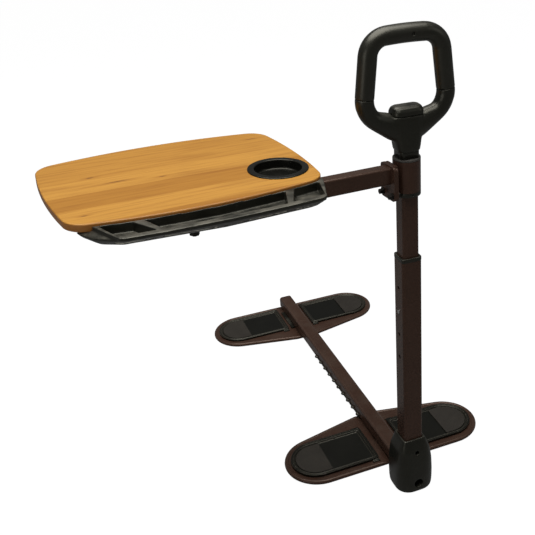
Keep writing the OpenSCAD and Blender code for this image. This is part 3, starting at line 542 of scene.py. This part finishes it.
def lacquered_wood():
    material, tree, shader = new_material("lacquered_wood")
    shader.inputs["Coat Weight"].default_value = 0.1
    shader.inputs["Coat Roughness"].default_value = 0.22
    shader.inputs["Specular IOR Level"].default_value = 0.3
    board = tree.nodes.new("ShaderNodeMapping")
    board.vector_type = "TEXTURE"
    board.inputs["Location"].default_value = on_arm(BOARD_AT[0], BOARD_AT[1], BOARD_TOP)
    board.inputs["Rotation"].default_value = (0.0, 0.0, ARM_TURN)
    tree.links.new(object_place(tree), board.inputs["Vector"])
    flat = board.outputs[0]

    # Long streaks and a slow flame figure over the planks
    fibres = noise(tree, stretched(tree, flat, (2.2, 42.0, 2.2)), 3.2, detail=8.0, roughness=0.62)
    figure = noise(tree, stretched(tree, flat, (1.2, 9.0, 1.2)), 2.4, detail=4.0, roughness=0.5)
    planks = mix_colour(tree, plank_chance(tree, flat), WOOD_PALE, WOOD_HONEY)
    streaks = math_node(tree, "MULTIPLY", band(tree, fibres, low=0.42, high=0.72), STREAK_SHARE)
    streaked = mix_colour(tree, streaks, planks, WOOD_AMBER)
    flames = math_node(tree, "MULTIPLY", band(tree, figure, low=0.5, high=0.72), FLAME_SHARE)
    figured = mix_colour(tree, flames, streaked, WOOD_AMBER)
    knotted = with_knots(tree, flat, figured)

    # The rounded edge shows darker end grain
    turned_away = band(tree, upward(tree, "Normal"), low=0.85, high=0.3)
    edge = math_node(tree, "MULTIPLY", turned_away, EDGE_SHARE)
    tree.links.new(mix_colour(tree, edge, knotted, WOOD_EDGE), shader.inputs["Base Color"])
    tree.links.new(spread(tree, fibres, low=0.3, high=0.46), shader.inputs["Roughness"])
    bump(tree, shader, fibres, strength=0.06, distance=0.0003)
    return material


photo_camera()
studio_floor()
studio_world()
for lamp in LAMPS:
    area_lamp(*lamp)

# Finishes, one for each material slot
FINISH = {
    "frame_paint": coated(
        "bronze_powder_coat",
        dark=(0.038, 0.0182, 0.0118), light=(0.058, 0.0302, 0.0205), worn=(0.1, 0.064, 0.05),
        rough=0.27, grain=1100.0, relief=0.1, dust=0.1, shine=0.36, tint=(1.0, 0.78, 0.65),
        # Painted highlight along the rounded rims of the paint
        rim_highlight=0.25, rim_highlight_tone=(0.11, 0.072, 0.056)),
    "black_plastic": coated(
        "moulded_black_plastic",
        dark=(0.0050, 0.0052, 0.0038), light=(0.0095, 0.0097, 0.0074), worn=(0.034, 0.033, 0.027),
        rough=0.32, grain=900.0, relief=0.14, dust=0.5, shine=0.55),
    "pad_plastic": coated(
        "pad_black_plastic",
        dark=(0.0024, 0.0026, 0.0019), light=(0.0048, 0.005, 0.0038), worn=(0.02, 0.02, 0.017),
        # Painted highlight along the rounded rims of the pads
        rough=0.3, grain=700.0, relief=0.12, dust=0.0, shine=0.4, rim_highlight=0.35),
    "grey_grip": coated(
        "matte_grey_grip",
        dark=(0.021, 0.0178, 0.0155), light=(0.03, 0.026, 0.0228), worn=(0.05, 0.045, 0.04),
        rough=0.7, grain=1400.0, relief=0.5, dust=0.06),
    "floor_rubber": coated(
        "floor_rubber",
        dark=(0.006, 0.006, 0.006), light=(0.011, 0.011, 0.0105), worn=(0.03, 0.03, 0.03),
        rough=0.7, grain=600.0, relief=0.4, dust=0.1),
    "soft_grip": coated(
        "soft_grip_rubber",
        dark=(0.0055, 0.0056, 0.0042), light=(0.0105, 0.0106, 0.0083), worn=(0.032, 0.031, 0.025),
        rough=0.34, grain=1300.0, relief=0.16, dust=0.16, shine=0.65),
    "grey_bush": coated(
        "grey_nylon",
        dark=(0.055, 0.051, 0.046), light=(0.08, 0.075, 0.068), worn=(0.11, 0.105, 0.095),
        rough=0.45, grain=500.0, relief=0.1, dust=0.06),
    "bright_steel": brushed("plated_steel", dark=(0.52, 0.52, 0.51), light=(0.72, 0.72, 0.70), rough=0.25),
    "dark_bolts": coated(
        "black_oxide_steel",
        dark=(0.012, 0.011, 0.010), light=(0.022, 0.0205, 0.019), worn=(0.1, 0.095, 0.09),
        rough=0.4, grain=800.0, relief=0.1, dust=0.05, metal=0.3),
    "board_wood": lacquered_wood(),
}

# Two black mouldings whose surface differs from the others: the organiser has more dust, which also stands
# for painted sheen on its up-facing rim, and the cup holder is a darker copy with painted shade in its
# recess
# Dust and painted sheen: the higher dust share also lightens the up-facing rim as sheen would
ORGANISER_DUST_AND_SHEEN_FINISH = coated(
    "organiser_plastic_dust_and_sheen",
    dark=(0.0060, 0.0062, 0.0046), light=(0.0115, 0.0117, 0.009), worn=(0.04, 0.039, 0.032),
    rough=0.36, grain=900.0, relief=0.14, dust=0.75, shine=0.55)
# Painted shade: a darker copy of the black plastic, so the cup's recess reads as shaded
CUP_SHADED_FINISH = coated(
    "cup_black_plastic_painted_shade",
    dark=(0.0024, 0.0025, 0.0019), light=(0.0046, 0.0047, 0.0036), worn=(0.02, 0.019, 0.016),
    rough=0.24, grain=700.0, relief=0.12, dust=0.03, shine=0.4)

SLOT_OF = {part["node"]: part["material_slot"] for part in frame["record"]["subparts"]}
for name, node in nodes.items():
    node.data.materials.clear()
    node.data.materials.append(FINISH[SLOT_OF[name]])


# Making pieces
def add_piece(name, mesh, body, slot, *replaced):
    for polygon in mesh.polygons:
        polygon.use_smooth = True
    mesh.materials.clear()
    mesh.materials.append(FINISH[slot])
    piece = bpy.data.objects.new(name, mesh)
    scene.collection.objects.link(piece)
    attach(piece, body)
    if replaced:
        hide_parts(*replaced)


def join_rings(shape, rings):
    """Walls between neighbouring rings that have the same count of corners."""
    for one, other in zip(rings, rings[1:]):
        for i in range(len(one)):
            j = (i + 1) % len(one)
            shape.faces.new((one[i], other[i], other[j], one[j]))


def closed_mesh(shape, name):
    bmesh.ops.recalc_face_normals(shape, faces=shape.faces)
    mesh = bpy.data.meshes.new(name)
    shape.to_mesh(mesh)
    shape.free()
    return mesh


def settled(obj, name):
    """The plain mesh that an object's modifiers make."""
    bpy.context.view_layer.update()
    graph = bpy.context.evaluated_depsgraph_get()
    mesh = bpy.data.meshes.new_from_object(obj.evaluated_get(graph))
    mesh.name = name
    bpy.data.objects.remove(obj)
    return mesh


CRISP_PASSES = 4


def softened(node_name, voxel, passes, crisp=None):
    """A copy of a solid, rounded as a moulding is, but only a little where it has to stay crisp."""
    mesh = nodes[node_name].data.copy()
    shape = bmesh.new()
    shape.from_mesh(mesh)
    bmesh.ops.remove_doubles(shape, verts=shape.verts, dist=WELD_REACH)
    shape.to_mesh(mesh)
    shape.free()
    blank = bpy.data.objects.new("moulding_blank", mesh)
    scene.collection.objects.link(blank)
    remesh = blank.modifiers.new("even_faces", "REMESH")
    remesh.mode = "VOXEL"
    remesh.voxel_size = voxel * MM
    mesh = settled(blank, node_name + "_moulding")
    shape = bmesh.new()
    shape.from_mesh(mesh)
    for count in range(passes):
        all_move = crisp is None or count < CRISP_PASSES
        loose = [vertex for vertex in shape.verts if all_move or not crisp(vertex.co / MM)]
        bmesh.ops.smooth_vert(shape, verts=loose, factor=0.5,
                              use_axis_x=True, use_axis_y=True, use_axis_z=True)
    shape.to_mesh(mesh)
    shape.free()
    return mesh


def above_hub_neck(point):
    return point.z > HUB_CRISP_Z


def boot_hole_or_seat(point):
    """The two holes in the front of the boot and the seats of the post and the bar."""
    bolt_hole = math.hypot(point.x, point.z - BOOT_BOLT_Z) < BOOT_BOLT_CLEAR
    screw_hole = math.hypot(point.x, point.z - BOOT_SCREW_Z) < BOOT_SCREW_CLEAR
    post_seat = max(abs(point.x), abs(point.y)) < POST_SEAT_HALF
    bar_seat = point.y > 0.0 and abs(point.x) < BAR_SEAT_HALF and point.z < BAR_SEAT_TOP
    return post_seat or bar_seat or (point.y < 0.0 and (bolt_hole or screw_hole))


def square_ring(half, corner_r, z, steps=NECK_CORNER_STEPS):
    """A square with rounded corners, as places on a level ring."""
    ring = []
    for quarter in range(4):
        middle = math.pi / 4 + quarter * math.pi / 2
        centre = Vector((math.copysign(half - corner_r, math.cos(middle)),
                         math.copysign(half - corner_r, math.sin(middle))))
        for step in range(steps + 1):
            angle = quarter * math.pi / 2 + step / steps * math.pi / 2
            x = centre.x + corner_r * math.cos(angle)
            y = centre.y + corner_r * math.sin(angle)
            ring.append(Vector((x, y, z)) * MM)
    return ring


def necked_hub():
    """The hub with the short black neck that covers the post down to the swivel."""
    shape = bmesh.new()
    shape.from_mesh(softened("handle_hub", voxel=1.2, passes=44, crisp=above_hub_neck))
    section = ((NECK_OUT, NECK_LOW), (NECK_OUT, NECK_HIGH), (NECK_IN, NECK_HIGH), (NECK_IN, NECK_LOW))
    rings = []
    for (half, corner_r), z in section:
        rings.append([shape.verts.new(place) for place in square_ring(half, corner_r, z)])
    rings.append(rings[0])
    join_rings(shape, rings)
    return closed_mesh(shape, "hub_moulding")


def bowed_grip():
    """The soft grip, its top bar bowed up a little between the corners."""
    mesh = softened("handle_grip", voxel=0.9, passes=2)
    for vertex in mesh.vertices:
        across = min(abs(vertex.co.x) / MM / GRIP_BOW_REACH, 1.0)
        blend = min(max((vertex.co.z / MM - GRIP_BOW_Z) / GRIP_BOW_BLEND, 0.0), 1.0)
        vertex.co.z += GRIP_BOW * (1 - across ** 2) ** 2 * blend * MM
    return mesh


add_piece("hub_moulding", necked_hub(), "upper_post", "black_plastic", "handle_hub")
add_piece("grip_moulding", bowed_grip(), "upper_post", "soft_grip", "handle_grip")
cap_mesh = softened("hub_cap", voxel=0.8, passes=8)
add_piece("hub_cap_moulding", cap_mesh, "upper_post", "black_plastic", "hub_cap")
boot_mesh = softened("post_boot", voxel=1.3, passes=36, crisp=boot_hole_or_seat)
add_piece("boot_moulding", boot_mesh, "base", "black_plastic", "post_boot")
bin_mesh = softened("organiser", voxel=1.3, passes=4)
add_piece("organiser_moulding", bin_mesh, "tray_arm", "black_plastic", "organiser")
# Dust and painted sheen on the organiser's up-facing rim
bin_mesh.materials[0] = ORGANISER_DUST_AND_SHEEN_FINISH
for corner in ("front_left", "front_right", "rear_left", "rear_right"):
    pad_body = "base" if corner.startswith("front") else "rear_foot"
    pad_mesh = softened(corner + "_leg_pad", voxel=1.0, passes=3)
    add_piece(corner + "_pad_moulding", pad_mesh, pad_body, "pad_plastic", corner + "_leg_pad")


# Board with a rounded edge and a clean cup opening
def board_ring(inset, steps=BOARD_RING_STEPS):
    """Outline of the board: bowed sides with a round corner between each two that touches both."""
    side_r = (BOARD_D ** 2 / 4 + BOW_SIDE ** 2) / (2 * BOW_SIDE) - inset
    back_r = (BOARD_W ** 2 / 4 + BOW_FRONT ** 2) / (2 * BOW_FRONT) - inset
    side_o = Vector((BOARD_W / 2 - inset - side_r, 0.0))
    back_o = Vector((0.0, BOARD_D / 2 - inset - back_r))
    small = CORNER_R - inset
    gap = (back_o - side_o).length
    reach_a, reach_b = side_r - small, back_r - small
    along = (reach_a ** 2 - reach_b ** 2 + gap ** 2) / (2 * gap)
    across = math.sqrt(reach_a ** 2 - along ** 2)
    ahead = (back_o - side_o) / gap
    at = side_o + along * ahead + across * Vector((-ahead.y, ahead.x)) * (1 if ahead.y < 0 else -1)
    side_a = math.atan2(at.y - side_o.y, at.x - side_o.x)
    back_a = math.atan2(at.y - back_o.y, at.x - back_o.x)
    arcs = (
        (side_o, side_r, 0.0, side_a),
        (at, small, side_a, back_a),
        (back_o, back_r, back_a, math.pi / 2),
    )
    quarter = []
    for centre, radius, first, last in arcs:
        for i in range(steps):
            angle = first + (last - first) * i / steps
            quarter.append(centre + radius * Vector((math.cos(angle), math.sin(angle))))
    ring = list(quarter)
    top = Vector((0.0, back_o.y + back_r))
    ring += [Vector((-p.x, p.y)) for p in [top] + quarter[:0:-1]]
    ring += [Vector((-p.x, -p.y)) for p in quarter]
    ring += [Vector((p.x, -p.y)) for p in [top] + quarter[:0:-1]]
    return ring


def tray_board():
    """Rings from the cup opening over the top, round the edge and back underneath."""
    levels = [(BOARD_TOP, BOARD_EDGE_R + BOARD_FLAT_RIM), (BOARD_TOP, BOARD_EDGE_R)]
    for step in range(1, BOARD_EDGE_STEPS + 1):
        angle = step / BOARD_EDGE_STEPS * math.pi / 2
        z = BOARD_TOP - BOARD_EDGE_R * (1 - math.cos(angle))
        levels.append((z, BOARD_EDGE_R * (1 - math.sin(angle))))
    for step in range(BOARD_UNDER_STEPS + 1):
        angle = step / BOARD_UNDER_STEPS * math.pi / 2
        z = BOARD_Z + BOARD_UNDER_R * (1 - math.sin(angle))
        levels.append((z, BOARD_UNDER_R * (1 - math.cos(angle))))
    levels.append((BOARD_Z, BOARD_UNDER_R + BOARD_FLAT_RIM))
    shape = bmesh.new()
    cup = Vector((CUP_AT[0] - BOARD_AT[0], CUP_AT[1] - BOARD_AT[1]))
    hole = CUP_R + CUP_WALL + CUP_HOLE_GAP
    rings = []

    def corner(point, z):
        return shape.verts.new(on_arm(BOARD_AT[0] + point.x, BOARD_AT[1] + point.y, z))

    outline = board_ring(BOARD_EDGE_R)
    round_hole = [cup + (p - cup).normalized() * hole for p in outline]
    round_rim = [cup + (p - cup).normalized() * (hole + BOARD_FLAT_RIM) for p in outline]
    rings.append([corner(p, BOARD_TOP) for p in round_hole])
    rings.append([corner(p, BOARD_TOP) for p in round_rim])
    for z, inset in levels:
        rings.append([corner(p, z) for p in board_ring(inset)])
    rings.append([corner(p, BOARD_Z) for p in round_rim])
    rings.append([corner(p, BOARD_Z) for p in round_hole])
    rings.append(rings[0])
    join_rings(shape, rings)
    add_piece("board_planks", closed_mesh(shape, "board_planks"), "tray_arm", "board_wood", "tray_board")


tray_board()


# Cup holder turned from a profile
def lathe(name, profile, turns, place):
    """A closed shape turned round an upright axis from a profile of radii and heights."""
    shape = bmesh.new()
    rings = []
    for radius, z in profile:
        if radius == 0.0:
            rings.append([shape.verts.new(place(0.0, 0.0, z))])
            continue
        ring = []
        for i in range(turns):
            angle = 2 * math.pi * i / turns
            ring.append(shape.verts.new(place(radius * math.cos(angle), radius * math.sin(angle), z)))
        rings.append(ring)
    for upper, lower in zip(rings, rings[1:]):
        for i in range(turns):
            j = (i + 1) % turns
            if len(upper) == 1:
                shape.faces.new((upper[0], lower[i], lower[j]))
            elif len(lower) == 1:
                shape.faces.new((upper[i], lower[0], upper[j]))
            else:
                shape.faces.new((upper[i], lower[i], lower[j], upper[j]))
    return closed_mesh(shape, name)


def rounded(corners, radii, steps=CUP_CORNER_STEPS):
    """A profile with the corners between its two ends rounded."""
    points = [corners[0]]
    for before, at, after, radius in zip(corners, corners[1:], corners[2:], radii):
        tip = Vector(at)
        start = tip + (Vector(before) - tip).normalized() * radius
        stop = tip + (Vector(after) - tip).normalized() * radius
        for i in range(steps + 1):
            t = i / steps
            points.append(tuple((1 - t) ** 2 * start + 2 * t * (1 - t) * tip + t * t * stop))
    points.append(corners[-1])
    return points


def cup_holder():
    lip = BOARD_TOP + CUP_LIP
    floor = lip - CUP_DEPTH
    seat = BOARD_TOP + CUP_SEAT_GAP
    corners = [
        (0.0, floor),
        (CUP_R - CUP_TAPER, floor),
        (CUP_R, lip),
        (CUP_FLANGE, lip - CUP_LIP_FALL),
        (CUP_FLANGE, seat),
        (CUP_R + CUP_WALL, seat),
        (CUP_R + CUP_WALL, floor - CUP_FLOOR),
        (0.0, floor - CUP_FLOOR),
    ]

    def in_hole(x, y, z):
        return on_arm(CUP_AT[0] + x, CUP_AT[1] + y, z)

    mesh = lathe("cup_holder_moulding", rounded(corners, CUP_RADII), CUP_TURNS, in_hole)
    add_piece("cup_holder_moulding", mesh, "tray_arm", "black_plastic", "cup_holder")
    # Painted shade: the cup holder takes the darker copy of the black plastic
    mesh.materials[0] = CUP_SHADED_FINISH


cup_holder()


# Geometry nodes: the rolled edge of the plates and the stops along the bar
def node_tree(name, inputs):
    """A geometry tree with named inputs, and the nodes at its two ends."""
    tree = bpy.data.node_groups.new(name, "GeometryNodeTree")
    tree.interface.new_socket("Geometry", in_out="INPUT", socket_type="NodeSocketGeometry")
    for label, kind, value in inputs:
        socket = tree.interface.new_socket(label, in_out="INPUT", socket_type=kind)
        if value is not None:
            socket.default_value = value
    tree.interface.new_socket("Geometry", in_out="OUTPUT", socket_type="NodeSocketGeometry")
    return tree, tree.nodes.new("NodeGroupInput"), tree.nodes.new("NodeGroupOutput")


def close_tree(tree, start, end, geometry):
    """Ends a tree with plain geometry in its finish."""
    realize = tree.nodes.new("GeometryNodeRealizeInstances")
    paint = tree.nodes.new("GeometryNodeSetMaterial")
    tree.links.new(geometry, realize.inputs[0])
    tree.links.new(realize.outputs[0], paint.inputs["Geometry"])
    tree.links.new(start.outputs["Finish"], paint.inputs["Material"])
    tree.links.new(paint.outputs[0], end.inputs[0])


def grown(tree, mesh, values, name):
    """Runs a tree on a small guide mesh and gives back the plain result."""
    guide = bpy.data.objects.new("guide", mesh)
    scene.collection.objects.link(guide)
    modifier = guide.modifiers.new("grow", "NODES")
    modifier.node_group = tree
    for item in tree.interface.items_tree:
        if item.item_type == "SOCKET" and item.in_out == "INPUT" and item.name in values:
            modifier[item.identifier] = values[item.name]
    return settled(guide, name)


def rolled_edge_tree():
    """A round bead swept along the outline of a plate."""
    inputs = (
        ("Edge radius", "NodeSocketFloat", BEAD_R * MM),
        ("Sides", "NodeSocketInt", BEAD_SIDES),
        ("Finish", "NodeSocketMaterial", None),
    )
    tree, start, end = node_tree("rolled_edge", inputs)
    path = tree.nodes.new("GeometryNodeMeshToCurve")
    tree.links.new(start.outputs["Geometry"], path.inputs[0])
    circle = tree.nodes.new("GeometryNodeCurvePrimitiveCircle")
    tree.links.new(start.outputs["Edge radius"], circle.inputs["Radius"])
    tree.links.new(start.outputs["Sides"], circle.inputs["Resolution"])
    sweep = tree.nodes.new("GeometryNodeCurveToMesh")
    tree.links.new(path.outputs[0], sweep.inputs["Curve"])
    tree.links.new(circle.outputs[0], sweep.inputs["Profile Curve"])
    close_tree(tree, start, end, sweep.outputs[0])
    return tree


def plate_ring(inset):
    """Outline of a cross plate, outer edge on the X axis, inner side towards +Y."""
    end_x = PLATE_LENGTH / 2 - PLATE_END_R
    span = Vector((APEX_X - end_x, PLATE_DEPTH - PLATE_END_R))
    taper = math.atan2(span.y, span.x) - math.acos(PLATE_END_R / span.length)
    normal = Vector((math.cos(taper), math.sin(taper)))
    apex = Vector((APEX_X, PLATE_DEPTH)) - inset * (normal + Vector((0.0, 1.0))) / (1 + math.sin(taper))
    radius = PLATE_END_R - inset
    half = []
    for i in range(PLATE_EDGE_STEPS):
        half.append(Vector((end_x * i / PLATE_EDGE_STEPS, inset)))
    for i in range(PLATE_END_STEPS + 1):
        angle = -math.pi / 2 + (taper + math.pi / 2) * i / PLATE_END_STEPS
        half.append(Vector((end_x + radius * math.cos(angle), PLATE_END_R + radius * math.sin(angle))))
    tangent = half[-1]
    for i in range(1, PLATE_TAPER_STEPS + 1):
        half.append(tangent.lerp(apex, i / PLATE_TAPER_STEPS))
    half.append(Vector((0.0, apex.y)))
    return half + [Vector((-p.x, p.y)) for p in half[-2:0:-1]]


def rolled_edge(tree, name, body, place):
    ring = [place(p) for p in plate_ring(BEAD_R)]
    guide = bpy.data.meshes.new("plate_outline")
    count = len(ring)
    guide.from_pydata(ring, [(i, (i + 1) % count) for i in range(count)], [])
    values = {
        "Edge radius": (BEAD_R + BEAD_PROUD) * MM,
        "Sides": BEAD_SIDES,
        "Finish": FINISH["frame_paint"],
    }
    mesh = grown(tree, guide, values, name)
    # The edge is pressed flat where the bar lies on it
    flat = (BAR_Z - SLIDE_GAP - BEAD_PROUD) * MM
    for vertex in mesh.vertices:
        if abs(vertex.co.x) < (BAR_W / 2 + BEAD_BAR_GAP) * MM:
            vertex.co.z = min(vertex.co.z, flat)
    shape = bmesh.new()
    shape.from_mesh(mesh)
    bmesh.ops.recalc_face_normals(shape, faces=shape.faces)
    shape.to_mesh(mesh)
    shape.free()
    add_piece(name, mesh, body, "frame_paint")


def on_front_plate(point):
    return Vector((point.x, FRONT_EDGE + point.y, DECK_Z)) * MM


def on_rear_plate(point):
    return Vector((point.x, REAR_EDGE - point.y, DECK_Z - SLIDE_GAP)) * MM


EDGE_TREE = rolled_edge_tree()
rolled_edge(EDGE_TREE, "front_rolled_edge", "base", on_front_plate)
rolled_edge(EDGE_TREE, "rear_rolled_edge", "rear_foot", on_rear_plate)


def stops_tree():
    """A row of rounded stops joined to the strip that carries them."""
    inputs = (
        ("Count", "NodeSocketInt", STOP_COUNT),
        ("Pitch", "NodeSocketFloat", STOP_PITCH * MM),
        ("First", "NodeSocketVector", None),
        ("Half length", "NodeSocketFloat", STOP_HALF_LENGTH * MM),
        ("Half height share", "NodeSocketFloat", STOP_HEIGHT_SHARE),
        ("Finish", "NodeSocketMaterial", None),
    )
    tree, start, end = node_tree("bar_stops", inputs)
    step = tree.nodes.new("ShaderNodeCombineXYZ")
    tree.links.new(start.outputs["Pitch"], step.inputs["Y"])
    row = tree.nodes.new("GeometryNodeMeshLine")
    row.mode = "OFFSET"
    tree.links.new(start.outputs["Count"], row.inputs["Count"])
    tree.links.new(start.outputs["First"], row.inputs["Start Location"])
    tree.links.new(step.outputs[0], row.inputs["Offset"])
    bead = tree.nodes.new("GeometryNodeMeshUVSphere")
    bead.inputs["Segments"].default_value = STOP_SEGMENTS
    bead.inputs["Rings"].default_value = STOP_RINGS
    tree.links.new(start.outputs["Half length"], bead.inputs["Radius"])
    squash = tree.nodes.new("ShaderNodeCombineXYZ")
    squash.inputs["X"].default_value = 1.0
    squash.inputs["Y"].default_value = 1.0
    tree.links.new(start.outputs["Half height share"], squash.inputs["Z"])
    spots = tree.nodes.new("GeometryNodeInstanceOnPoints")
    tree.links.new(row.outputs[0], spots.inputs["Points"])
    tree.links.new(bead.outputs[0], spots.inputs["Instance"])
    tree.links.new(squash.outputs[0], spots.inputs["Scale"])
    joined = tree.nodes.new("GeometryNodeJoinGeometry")
    tree.links.new(start.outputs["Geometry"], joined.inputs[0])
    tree.links.new(spots.outputs[0], joined.inputs[0])
    close_tree(tree, start, end, joined.outputs[0])
    return tree


def bar_stops():
    face = -BAR_W / 2
    shape = bmesh.new()
    bmesh.ops.create_cube(shape, size=1.0)
    length = STOP_PITCH * (STOP_COUNT - 1) + 2 * STOP_STRIP_END
    middle = Vector((face - STOP_STRIP / 2, STOP_FIRST - STOP_STRIP_END + length / 2, STOP_Z))
    size = Vector((STOP_STRIP, length, STOP_STRIP_H))
    for vertex in shape.verts:
        vertex.co = (middle + vertex.co * size) * MM
    strip = bpy.data.meshes.new("stop_strip")
    shape.to_mesh(strip)
    shape.free()
    values = {
        "Count": STOP_COUNT,
        "Pitch": STOP_PITCH * MM,
        "First": (face * MM, STOP_FIRST * MM, STOP_Z * MM),
        "Half length": STOP_HALF_LENGTH * MM,
        "Half height share": STOP_HEIGHT_SHARE,
        "Finish": FINISH["black_plastic"],
    }
    mesh = grown(stops_tree(), strip, values, "bar_stop_row")
    add_piece("bar_stop_row", mesh, "base", "black_plastic", "length_rack")


bar_stops()


# Soft bevels on the solids that stay, by their width in millimetres
BEVEL_ANGLE = math.radians(40)
BEVEL_SEGMENTS = 2
BEVEL_WIDTH = {
    "front_left_grip": 0.6,
    "front_right_grip": 0.6,
    "rear_left_grip": 0.6,
    "rear_right_grip": 0.6,
    "arm_plate": 0.8,
    "collar_bracket": 0.6,
    "arm_end_cap": 0.8,
    "upper_swivel_bush": 0.8,
    "lower_swivel_bush": 0.8,
    "post_bushing": 1.2,
    "bar_end_cap": 1.0,
}


def bevel_node(name, width):
    node = nodes[name]
    weld = node.modifiers.new("joined_faces", "WELD")
    weld.merge_threshold = WELD_REACH
    bevel = node.modifiers.new("soft_edges", "BEVEL")
    bevel.width = width * MM
    bevel.segments = BEVEL_SEGMENTS
    bevel.limit_method = "ANGLE"
    bevel.angle_limit = BEVEL_ANGLE


for node_name, width in BEVEL_WIDTH.items():
    bevel_node(node_name, width)
